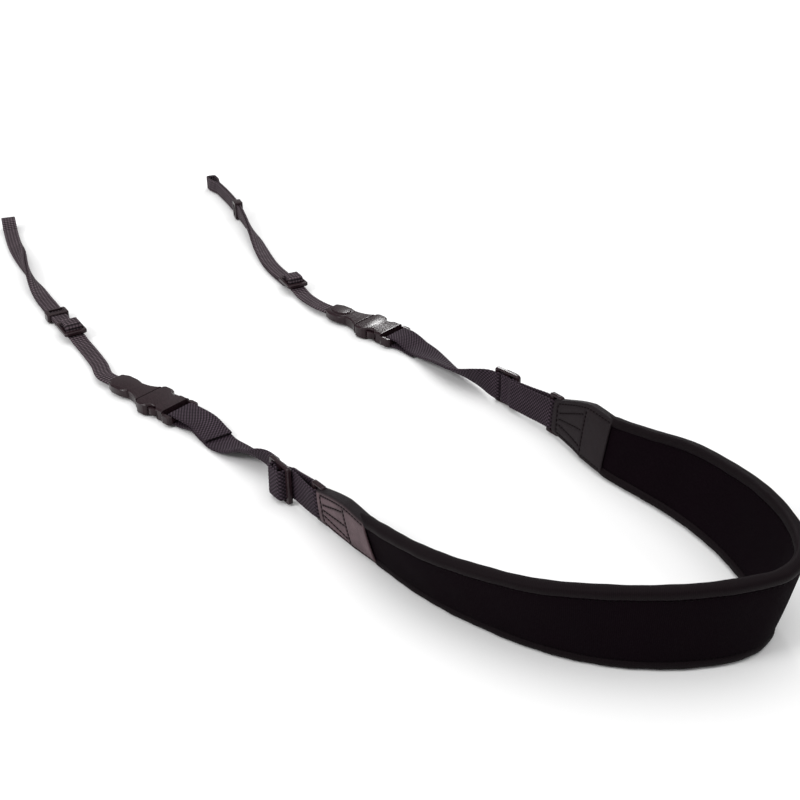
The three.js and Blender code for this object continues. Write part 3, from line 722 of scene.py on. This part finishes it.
@dataclass(frozen=True)
class Slide:
    """A flat slide with two slots, which the webbing runs through: sizes along s and out of the face."""

    out: float = 0.0032  # its middle stands this far out of the middle line
    under: float = -0.0024
    over: float = 0.0042
    inner: float = 0.0048
    outer: float = 0.0099
    free: float = 0.017
    tail_low: float = 0.0044  # how far below the slide's middle the inner layer comes in
    climb_from: float = 0.0068
    climb_to: float = 0.0031
    hook: float = 0.00285  # where it turns round the centre bar
    hook_end: float = 0.0014

    def laced(self, s: float, way: int, face: int) -> list[tuple[float, float]]:
        """Corners of a layer that goes under both outer bars and over the centre bar.

        Args:
            s: the slide's place.
            way: +1 when the doubled side has the larger s.
            face: +1 when the slide stands on the outer face.
        Returns:
            Pairs of s and n.
        """
        under, over = face * (self.out + self.under), face * (self.out + self.over)
        return [
            (s - way * self.free, 0),
            (s - way * self.outer, under),
            (s - way * (self.inner + GAP), under),
            (s - way * self.inner, over),
            (s + way * self.inner, over),
            (s + way * (self.inner + GAP), under),
            (s + way * self.outer, under),
        ]

    def hooked(self, s: float, way: int, face: int) -> list[tuple[float, float]]:
        """Corners of the inner layer's end, hooked over the centre bar.

        Args:
            s: the slide's place.
            way: +1 when the doubled side has the larger s.
            face: +1 when the slide stands on the outer face.
        Returns:
            Pairs of s and n.
        """
        low = face * (self.out - self.tail_low)
        under, over = face * (self.out + self.under), face * (self.out - self.under)
        return [
            (s + way * self.outer, low),
            (s + way * self.climb_from, low),
            (s + way * self.climb_to, under),
            (s - way * self.hook, under),
            (s - way * self.hook, over),
            (s + way * self.hook_end, over),
        ]


@dataclass(frozen=True)
class Buckle:
    """The side-release buckle's sizes along s from its mouth, where the two halves meet."""

    slot_from: float = 0.0225
    slot_long: float = 0.0044
    foot_bar: float = 0.0032
    bar_thick: float = 0.0028
    pad_from: float = -0.031
    pocket_long: float = 0.0136


@dataclass(frozen=True)
class Ring:
    """The flat ring that joins a leather tab to the wide webbing."""

    long: float = 0.0098
    bar: float = 0.003
    thick: float = 0.0028


@dataclass
class Webbing:
    """One length of webbing: a flat section carried along its lay, with the weave standing out of it."""

    name: str
    width: float
    thick: float
    weave: Weave
    pitch: float
    relief: float = 0.00024
    bend: float = 0.0017  # radius of the lay's bends
    cut_long: float = 0.0006  # length over which a cut end is rounded
    cut_low: float = 0.0003  # how much thinner each face is at the cut
    step: float = 0.00045

    def height(self, u: np.ndarray, w: np.ndarray, face: np.ndarray) -> np.ndarray:
        """How far the weave stands out, from 0 to 1.

        Dotted: (1 + cos(2 pi u / p) cos(2 pi w / p)) / 2, crests in staggered rows.
        Ribbed: |cos(pi u / p)| (0.45 + 0.55 |cos(pi w / p)|), rounds of weft across rows of warp.

        Args:
            u: length along the webbing.
            w: place across it.
            face: 1 on a face and 0 at the very edge.
        Returns:
            The height at each place.
        """
        if self.weave is Weave.DOTTED:
            crests = (1 + np.cos(2 * math.pi * u / self.pitch) * np.cos(2 * math.pi * w / self.pitch)) / 2
        else:
            rows = 0.45 + 0.55 * np.abs(np.cos(math.pi * w / self.pitch))
            crests = np.abs(np.cos(math.pi * u / self.pitch)) * rows
        edge = np.abs(np.cos(math.pi * u / self.pitch)) * 0.8
        return face * crests + (1 - face) * edge

    def build(self, route: Route, corners: list[tuple[float, float]]) -> bpy.types.Object:
        """Carries the section along the lay: point = lay + side (n + h out_n) + across (w + h out_w).

        Args:
            route: the strap's middle line.
            corners: the lay's corners, as pairs of s and n.
        Returns:
            The webbing.
        """
        lay = laid(corners, self.bend, self.step)
        tangent = unit(np.gradient(lay, axis=0))
        side = np.stack([-tangent[:, 1], tangent[:, 0]], -1)
        section = BandSection(self.width, self.thick - self.relief, self.step)
        u = np.arange(len(lay)) * self.step
        face = np.abs(section.out_n)
        height = self.height(u[:, None], section.w[None, :], face[None, :])
        fade = np.clip(np.minimum(u, u[-1] - u) / self.cut_long, 0, 1)[:, None]
        proud = self.relief * height - self.cut_low * (1 - np.sqrt(1 - (1 - fade) ** 2))
        depth = section.n + proud * section.out_n
        across = section.w + proud * section.out_w
        s = lay[:, :1] + side[:, :1] * depth
        n = lay[:, 1:] + side[:, 1:] * depth
        rings = route.at(s, n, across)
        return skin(self.name, rings, ring_uv(u, rings), height)


FOLD_BACK = {Side.LEFT: 0.032, Side.RIGHT: 0.021}  # webbing beyond the buckle's foot, to its cut end
WRAP_LONG = 0.0035  # how far beyond the foot the webbing stays parallel to it


@dataclass
class Arm:
    """One arm of the strap: its webbing through the buckle, the slides, the ring and the end loop."""

    route: Route
    side: Side
    buckle: Buckle = Buckle()
    slide: Slide = Slide()
    ring: Ring = Ring()
    tab_wall: float = 0.001
    tab_slack: float = 0.001  # room round the ring's bar in the tab's fold
    loop_long: float = 0.013
    loop_open: float = 0.0034
    doubled: float = 0.00095  # each layer's distance from the middle where the webbing is doubled

    def s(self, station: str) -> float:
        """Where one of this arm's stations is."""
        return self.route.station[self.side.name_of(station)]

    def ring_s(self) -> float:
        """Middle of the ring, whose bar lies in the leather tab's fold."""
        from_tip = self.tab_wall + self.tab_slack + self.ring.bar - self.ring.long / 2
        return self.s("tab_tip") + self.side.value * from_tip

    def wide_lay(self, thick: float) -> list[tuple[float, float]]:
        """Cut end, round the buckle's foot bar, through the slide, round the ring's bar and back.

        Args:
            thick: the webbing's thickness.
        Returns:
            Corners as pairs of s and n.
        """
        b, way, mouth, at = self.buckle, self.side.value, self.s("mouth"), self.s("wide_slide")
        slot_pass = mouth + way * (b.slot_from + b.slot_long - GAP - thick / 2)
        foot_end = mouth + way * (b.slot_from + b.slot_long + b.foot_bar)
        wrap = b.bar_thick / 2 + GAP + thick / 2
        bar = self.ring_s() - way * (self.ring.long - self.ring.bar) / 2
        turn = bar + way * (self.ring.bar / 2 + GAP + thick / 2)
        apart = self.ring.thick / 2 + GAP + thick / 2
        return [
            (foot_end + way * FOLD_BACK[self.side], -0.00175),
            (foot_end + way * WRAP_LONG, -wrap),
            (slot_pass, -wrap),
            (slot_pass, wrap),
            (foot_end + way * WRAP_LONG, wrap),
            (foot_end + way * 0.015, 0),
            *self.slide.laced(at, way, 1),
            (bar - way * 0.003, apart),
            (turn, apart),
            (turn, -apart),
            (bar - way * 0.003, -apart),
            *self.slide.hooked(at, way, 1),
        ]

    def narrow_lay(self, thick: float) -> list[tuple[float, float]]:
        """Out of the buckle's pad, through the slide, round the end loop and back.

        Args:
            thick: the webbing's thickness.
        Returns:
            Corners as pairs of s and n.
        """
        b, way, mouth, at = self.buckle, -self.side.value, self.s("mouth"), self.s("narrow_slide")
        face, end = way, self.s("end")
        pad_end = mouth - way * b.pad_from
        throat = end - way * (self.loop_long + 0.007)
        shoulder = end - way * (self.loop_long - 0.003)
        join, tip = at + way * 0.018, end - way * thick
        opened, closed = face * self.loop_open, face * self.doubled
        return [
            (pad_end - way * (b.pocket_long - GAP), 0),
            (pad_end + way * 0.012, 0),
            *self.slide.laced(at, way, face),
            (join, closed),
            (throat, closed),
            (shoulder, opened),
            (tip, opened),
            (tip, -opened),
            (shoulder, -opened),
            (throat, -closed),
            (join, -closed),
            *self.slide.hooked(at, way, face),
        ]

    def build(self, wide_finish: WovenNylon, narrow_finish: WovenNylon) -> None:
        """Lays both lengths of webbing.

        Args:
            wide_finish: the wide webbing's finish.
            narrow_finish: the narrow webbing's finish.
        """
        wide = Webbing(self.side.name_of("wide_webbing_woven"), 0.017, 0.0015, Weave.DOTTED, 0.0022)
        piece = wide.build(self.route, self.wide_lay(wide.thick))
        settle(piece, wide_finish.material(), "wide_webbing", self.side.name_of("wide_webbing"))
        narrow = Webbing(self.side.name_of("narrow_webbing_woven"), 0.010, 0.0014, Weave.RIBBED, 0.0021)
        piece = narrow.build(self.route, self.narrow_lay(narrow.thick))
        settle(piece, narrow_finish.material(), "narrow_webbing", self.side.name_of("narrow_webbing"))


@dataclass
class NeckPad:
    """The foam neck pad: a crowned core, a rolled edge above and below, and a seam in each groove between."""

    route: Route
    core: float = 0.0054
    bound: float = 0.006
    edge: float = 0.0055  # height of one rolled edge
    pocket: float = 0.015  # how far the core goes into each leather tab
    along_tab: float = 0.014  # how far the rolled edges go on beside each leather tab
    draw_in: float = 0.0022  # how far they are drawn in there
    tucked: float = 0.0046  # thickness of the core inside the leather tabs
    grow: float = 0.009  # length over which it thickens outside the tabs
    pinch: float = 0.0036  # thickness of the core in the sewn grooves
    under: float = 0.0012  # how far the core goes in under the rolled edges
    square: float = 2.6  # how square the rolled edges are: 2 is round
    clear: float = 0.0015  # how far the seams stop short of the leather tabs
    aside: float = 0.0002  # how far they run from the rolled edges
    proud: float = 0.00035  # how far they stand out of the grooves
    pitch: float = 0.0027  # from one stitch to the next
    step: float = 0.0011

    def ends(self, beyond: float) -> tuple[float, float]:
        """Lengths a given way past the mouths of the two leather tabs, seen from the pad's middle."""
        return self.route.station["left_tab_end"] - beyond, self.route.station["right_tab_end"] + beyond

    def rows(self, start: float, end: float) -> np.ndarray:
        """Lengths from start to end about a step apart, as a column."""
        return np.linspace(start, end, round((end - start) / self.step) + 1)[:, None]

    def half(self, s: np.ndarray) -> np.ndarray:
        """Half the pad's height, which stays the same inside the tabs."""
        inside = np.clip(s, *self.ends(0))
        return self.route.frame(inside).wide / 2

    def puckers(self, s: np.ndarray, from_seam: np.ndarray) -> np.ndarray:
        """Small gathers that the stitches draw in: cos(2 pi s / pitch), fading over 3 mm from the seam."""
        return 0.00012 * np.cos(2 * math.pi * s / self.pitch) * np.exp(-from_seam / 0.003)

    def waves(self, s: np.ndarray, v: np.ndarray, face: int) -> np.ndarray:
        """Slow swells of the foam's face: three sine waves of 23 to 71 mm, strongest halfway up."""
        long = np.sin(s / 0.0113 + 1.3 * v + face)
        middling = 0.8 * np.sin(s / 0.0067 - 2.1 * v)
        short = 0.5 * np.sin(s / 0.0037 + 3 * v)
        return 0.00014 * (long + middling + short) * (1 - v**2)

    def build_core(self) -> bpy.types.Object:
        """Carries a crowned section: half thickness = pinch/2 + (full - pinch)/2 (1 - v^8)^0.6.

        v goes from -1 to 1 up the pad. The full thickness is less inside the leather tabs, and grows to the
        core's own just outside them.

        Returns:
            The core.
        """
        start, end = self.ends(self.pocket)
        s = self.rows(start, end)
        even = np.linspace(-1, 1, 41)
        v = np.sin(even * math.pi / 2) * 0.55 + even * 0.45
        reach = self.half(s) - self.edge + self.under
        clear = np.minimum(s - start, end - s) - self.pocket
        full = self.tucked + (self.core - self.tucked) * np.clip(clear / self.grow, 0, 1)
        crown = self.pinch / 2 + (full - self.pinch) / 2 * (1 - np.abs(v) ** 8) ** 0.6
        seam = reach * (1 - np.abs(v))
        rings = []
        for face in FACES:
            n = face * (crown + self.puckers(s, seam) + self.waves(s, v, face))
            rings.append(self.route.at(s, n[:, :: face * -1], (reach * v)[:, :: face * -1]))
        points = np.concatenate(rings, axis=1)
        return skin("neck_pad_core_foam", points, ring_uv(s[:, 0], points))

    def build_edge(self, name: str, up: int) -> bpy.types.Object:
        """Carries a rolled edge: a squared round |w/h|^2.6 + |n/b|^2.6 = 1, narrowing along the leather tabs.

        The seam gathers its inner half stitch by stitch, and two slow waves roll it along its length.

        Args:
            name: the piece's name.
            up: +1 for the upper edge, -1 for the lower one.
        Returns:
            The rolled edge.
        """
        first, last = self.ends(0)
        s = self.rows(*self.ends(self.along_tab))
        inside = np.clip(np.maximum(first - s, s - last) / self.along_tab, 0, 1)
        outer = self.half(s) - self.draw_in * np.clip(inside * 1.02 - 0.02, 0, 1)
        high = self.edge / 2 * (1 - 0.25 * inside)
        thick = self.bound / 2 * (1 - 0.45 * np.minimum(inside * 3, 1))
        turn = np.linspace(0, 2 * math.pi, 28, endpoint=False)
        round_w = signed_power(np.cos(turn), 2 / self.square)
        round_n = signed_power(np.sin(turn), 2 / self.square)
        w = up * (outer - high) + high * round_w
        gather = 0.00016 * np.cos(2 * math.pi * s / self.pitch) * np.clip(-up * round_w, 0, 1)
        roll = 0.00010 * np.sin(s / 0.0041 + up) + 0.00008 * np.sin(s / 0.0019)
        rings = self.route.at(s, (thick + gather + roll) * round_n, w)
        return skin(name, rings, ring_uv(s[:, 0], rings))

    def build_seams(self) -> bpy.types.Object:
        """Sews the two grooves on both faces, just inside the rolled edges and just out of the pinched core.

        Returns:
            The stitches.
        """
        s = np.linspace(*self.ends(-self.clear), 400)
        lines, normals = [], []
        for up in FACES:
            for face in FACES:
                w = up * (self.half(s) - self.edge - self.aside)
                lines.append(self.route.at(s, np.full_like(s, face * (self.pinch / 2 + self.proud)), w))
                normals.append(self.route.frame(s).out * face)
        return stitches("neck_pad_seams", np.array(lines), np.array(normals), self.pitch, 0.0006)

    def build(self) -> None:
        """Makes and dresses the pad's pieces."""
        core = settle(self.build_core(), Jersey().material(), "neoprene", "neck_pad_core")
        tape = EdgeTape().material()
        settle(self.build_edge("upper_rolled_edge", 1), tape, "edge_binding", "upper_bound_edge")
        settle(self.build_edge("lower_rolled_edge", -1), tape, "edge_binding", "lower_bound_edge")
        settle(self.build_seams(), Thread("pad_thread", (0.0016, 0.0007, 0.0012)).material(), "edge_binding")


@dataclass
class LeatherTab:
    """The leather end of the pad: two walls sewn over the pad's end and drawn in to a fold round the ring."""

    route: Route
    side: Side
    tip: float = 0.019
    shoulder: float = 0.62  # share of the way at which it has its full height
    shy: float = 0.002  # how much lower than the pad it is at its wide end
    tip_thick: float = 0.0058
    end_thick: float = 0.0076
    wall: float = 0.001
    pull: float = 0.00045  # how far a seam draws the faces in
    rim: float = 0.0016  # width of the dark rim
    from_edge: float = 0.0023  # from the border seams to the edge
    edge_power: float = 0.8  # the section is v = |cos t|^0.8 and n = |sin t|^0.3, with their signs
    face_power: float = 0.3
    sunk: float = 0.0003  # how far the stitches lie in the leather
    rings: int = 84  # along its outside
    around: int = 120
    pitch: float = 0.0023  # from one stitch to the next

    def place(self, share: np.ndarray) -> np.ndarray:
        """Length s at a share of the way from the tip to the wide end."""
        tip, end = (self.route.station[self.side.name_of(name)] for name in ("tab_tip", "tab_end"))
        return tip + (end - tip) * share

    def half(self, share: np.ndarray) -> np.ndarray:
        """Half the tab's height: straight from the tip out to the shoulders, then level."""
        wide = float(self.route.frame(self.place(np.array(1.0))).wide) - self.shy
        return (self.tip + (wide - self.tip) * np.minimum(share / self.shoulder, 1)) / 2

    def face(self, share: np.ndarray) -> np.ndarray:
        """Half the tab's thickness: it swells over the pad's end in the first 5 eighths."""
        swell = np.minimum(share * 1.6, 1) ** 0.8
        return (self.tip_thick + (self.end_thick - self.tip_thick) * swell) / 2

    def seam_lines(self) -> list[np.ndarray]:
        """The seams in (share, v), v from -1 to 1 across: two borders, the cross seam and a fan of three.

        Returns:
            One array of pairs for each seam.
        """
        along = np.linspace(0.1, 0.97, 60)
        border = [np.stack([along, up * (1 - self.from_edge / self.half(along))], -1) for up in FACES]
        cross = np.linspace(-0.76, 0.76, 40)
        bars = [np.stack([np.full_like(cross, at), cross], -1) for at in (0.1, 0.6)]
        reach = np.linspace(0.13, 0.57, 40)
        fan = [np.stack([reach, v * (0.35 + 1.1 * reach)], -1) for v in (-0.62, 0.0, 0.62)]
        return border + bars + fan

    def groove(self, share: np.ndarray, v: np.ndarray) -> np.ndarray:
        """Depth that the seams are drawn in: exp(-(d / 0.7 mm)^2) of the distance d to the nearest seam."""
        long = abs(float(self.place(np.array(1.0)) - self.place(np.array(0.0))))
        x, y = np.broadcast_arrays(share * long, v * self.half(share))
        nearest = np.full(x.shape, 1.0)
        for line in self.seam_lines():
            px, py = line[:, 0] * long, line[:, 1] * self.half(line[:, 0])
            gap = (x[..., None] - px) ** 2 + (y[..., None] - py) ** 2
            nearest = np.minimum(nearest, np.sqrt(gap.min(axis=-1)))
        return np.exp(-((nearest / 0.0007) ** 2))

    def build_leather(self) -> bpy.types.Object:
        """Carries a flat section from the closed tip to the mouth, round its lip and back inside.

        The section is a squared round, so its faces are flat and its edges round. Seams pull the faces in,
        and the relief is painted light: the outer face is painted paler than the inner one, and it is darker
        at the rim and along the seams.

        Returns:
            The leather.
        """
        # three rings round off the tip, and the last four go round the lip to the inside
        share = np.r_[0.0, 0.004, 0.012, np.linspace(0.025, 0.995, self.rings), 1.0, 1.0, 0.995, 0.93]
        lip = [0.0004, self.wall - 0.0003, self.wall, self.wall]
        shrink = np.r_[0.0018, 0.0009, 0.0003, np.zeros(self.rings), lip]
        t = np.linspace(0, 2 * math.pi, self.around, endpoint=False)
        v = signed_power(np.cos(t), self.edge_power)
        n = signed_power(np.sin(t), self.face_power)
        share, shrink = share[:, None], shrink[:, None]
        groove = self.groove(share, v[None, :])
        pull = self.pull * groove * (shrink < 0.0002) * np.abs(n)
        rim = np.clip((1 - np.abs(v)) * self.half(share) / self.rim, 0, 1) ** 2
        # painted light: the outer face is painted paler than the inner face, darker at the rim and along the
        # seams
        painted_face_light = (0.04 + 0.96 * np.clip(n + 0.5, 0, 1)) * rim * (1 - 0.92 * groove)
        depth = (self.face(share) - shrink - pull) * n
        across = (self.half(share) - shrink) * v
        way = self.side.value
        s = np.broadcast_to(self.place(share), depth.shape)
        order = slice(None) if way > 0 else slice(None, None, -1)
        rings = self.route.at(s, depth, across)[:, order]
        uv = ring_uv(np.abs(s[:, 0] - s[0, 0]), rings)
        return skin(self.side.name_of("leather_tab_sewn"), rings, uv, painted_face_light[:, order])

    def build_seams(self) -> bpy.types.Object:
        """Sews every seam on both faces.

        Returns:
            The stitches.
        """
        lines, normals = [], []
        for line in self.seam_lines():
            even = np.linspace(0, 1, 60)
            share = np.interp(even, np.linspace(0, 1, len(line)), line[:, 0])
            v = np.interp(even, np.linspace(0, 1, len(line)), line[:, 1])
            for face in FACES:
                flat = (1 - np.abs(v) ** (2 / self.edge_power)) ** (self.face_power / 2)
                n = face * (self.face(share) * flat - self.sunk)
                s = self.place(share)
                lines.append(self.route.at(s, n, v * self.half(share)))
                normals.append(self.route.frame(s).out * face)
        name = self.side.name_of("tab_stitching")
        return stitches(name, np.array(lines), np.array(normals), self.pitch, 0.00065)

    def build(self, leather: Leather, thread: Thread) -> None:
        """Makes and dresses the tab's pieces.

        Args:
            leather: the leather's finish.
            thread: its thread's finish.
        """
        settle(self.build_leather(), leather.material(), "leather", self.side.name_of("leather_tab"))
        settle(self.build_seams(), thread.material(), "leather")


@dataclass
class MouldedPiece:
    """A hard piece with the CAD solid's own shape and its edges rounded off."""

    node: str
    edge: float
    material: bpy.types.Material

    def build(self) -> bpy.types.Object:
        """Merges a copy of the solid, joins its flat faces and rounds its edges.

        Returns:
            The rounded piece.
        """
        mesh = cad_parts[self.node].data.copy()
        mesh.name = f"{self.node}_moulded"
        shape = bmesh.new()
        shape.from_mesh(mesh)
        bmesh.ops.remove_doubles(shape, verts=shape.verts, dist=0.000005)
        bmesh.ops.dissolve_limit(shape, angle_limit=math.radians(1), verts=shape.verts, edges=shape.edges)
        for face in shape.faces:
            face.smooth = True
        shape.to_mesh(mesh)
        shape.free()
        piece = add_object(mesh)
        bevel = piece.modifiers.new("rounded edges", "BEVEL")
        bevel.width = self.edge
        bevel.segments = 3
        bevel.limit_method = "ANGLE"
        bevel.angle_limit = math.radians(22)
        bevel.harden_normals = True
        return settle(piece, self.material, "moulded_plastic", self.node)


# ---- Studio ----
@dataclass
class Studio:
    """A pale floor, soft lights and the camera."""

    eye: tuple[float, float, float] = (0.5843, -0.2632, 0.350)
    azimuth: float = 60
    elevation: float = 30
    lens: float = 54
    sensor: float = 36
    overhead_power: float = 1.7

    def camera(self) -> None:
        """Looks along the azimuth, down by the elevation."""
        data = bpy.data.cameras.new("camera")
        data.lens = self.lens
        data.sensor_width = self.sensor
        data.clip_start = 0.01
        made = bpy.data.objects.new("camera", data)
        a, e = math.radians(self.azimuth), math.radians(self.elevation)
        look = Vector((-math.sin(a) * math.cos(e), math.cos(a) * math.cos(e), -math.sin(e)))
        made.location = self.eye
        made.rotation_euler = look.to_track_quat("-Z", "Y").to_euler()
        bpy.context.collection.objects.link(made)
        bpy.context.scene.camera = made

    def light(self, name: str, place: tuple[float, float, float], size: float, power: float) -> None:
        """Hangs a soft square light that looks at the strap's middle.

        Args:
            name: the light's name.
            place: where it hangs.
            size: its side.
            power: its watts.
        """
        data = bpy.data.lights.new(name, "AREA")
        data.size = size
        data.energy = power
        made = bpy.data.objects.new(name, data)
        made.location = place
        made.rotation_euler = (-Vector(place)).to_track_quat("-Z", "Y").to_euler()
        bpy.context.collection.objects.link(made)

    def overhead(self) -> None:
        """Lights everything alike from a wide round sky overhead, so the floor is pale to its far edge."""
        data = bpy.data.lights.new("overhead", "SUN")
        data.energy = self.overhead_power
        data.angle = math.radians(70)
        made = bpy.data.objects.new("overhead", data)
        bpy.context.collection.objects.link(made)

    def floor(self) -> None:
        """Spreads a plain pale floor under the strap."""
        reach = 6.0
        mesh = bpy.data.meshes.new("floor")
        corners = [(-reach, -reach, 0), (reach, -reach, 0), (reach, reach, 0), (-reach, reach, 0)]
        mesh.from_pydata(corners, [], [(0, 1, 2, 3)])
        made = add_object(mesh)
        made.location.z = -0.0003
        mesh.materials.append(Dressing("pale_floor").dress(Base_Color=(0.86, 0.86, 0.86, 1), Roughness=0.9))

    def build(self) -> None:
        """Sets up the camera, the floor, the sky and the lights."""
        self.camera()
        self.floor()
        world = bpy.data.worlds.new("studio")
        world.use_nodes = True
        world.node_tree.nodes["Background"].inputs["Color"].default_value = (1, 1, 1, 1)
        world.node_tree.nodes["Background"].inputs["Strength"].default_value = 0.5
        bpy.context.scene.world = world
        bpy.context.scene.view_settings.view_transform = "Standard"
        self.overhead()
        self.light("key", (0.1, -1.3, 1.1), 0.5, 12)
        self.light("back", (-1.2, 0.9, 0.8), 0.22, 6)


def main() -> None:
    """Builds the strap from its middle line outwards, then the studio round it."""
    logging.basicConfig(level=logging.INFO, format="%(name)s: %(message)s")
    Studio().build()
    route = Route(STATIONS)
    log.info("the middle line is %.3f m long", route.length)
    NeckPad(route).build()
    # the crest colours are painted highlights on the weave's crests
    wide_finish = WovenNylon("wide_nylon", (0.0024, 0.001, 0.002), (0.115, 0.076, 0.108), 0.00045)
    narrow_finish = WovenNylon("narrow_nylon", (0.0024, 0.001, 0.002), (0.19, 0.14, 0.165), 0.0004)
    tab_thread = Thread("tab_thread", (0.008, 0.004, 0.005))
    acetal = MouldedPlastic().material()
    hard_edges = {
        "tab_ring": 0.00035,
        "wide_slide": 0.0003,
        "narrow_slide": 0.0003,
        "narrow_keeper": 0.0003,
        "buckle_female": 0.0003,
        "buckle_male": 0.0003,
    }
    for side in Side:
        LeatherTab(route, side).build(Leather(), tab_thread)
        Arm(route, side).build(wide_finish, narrow_finish)
        for piece, edge in hard_edges.items():
            MouldedPiece(side.name_of(piece), edge, acetal).build()


if __name__ == "__main__":
    main()
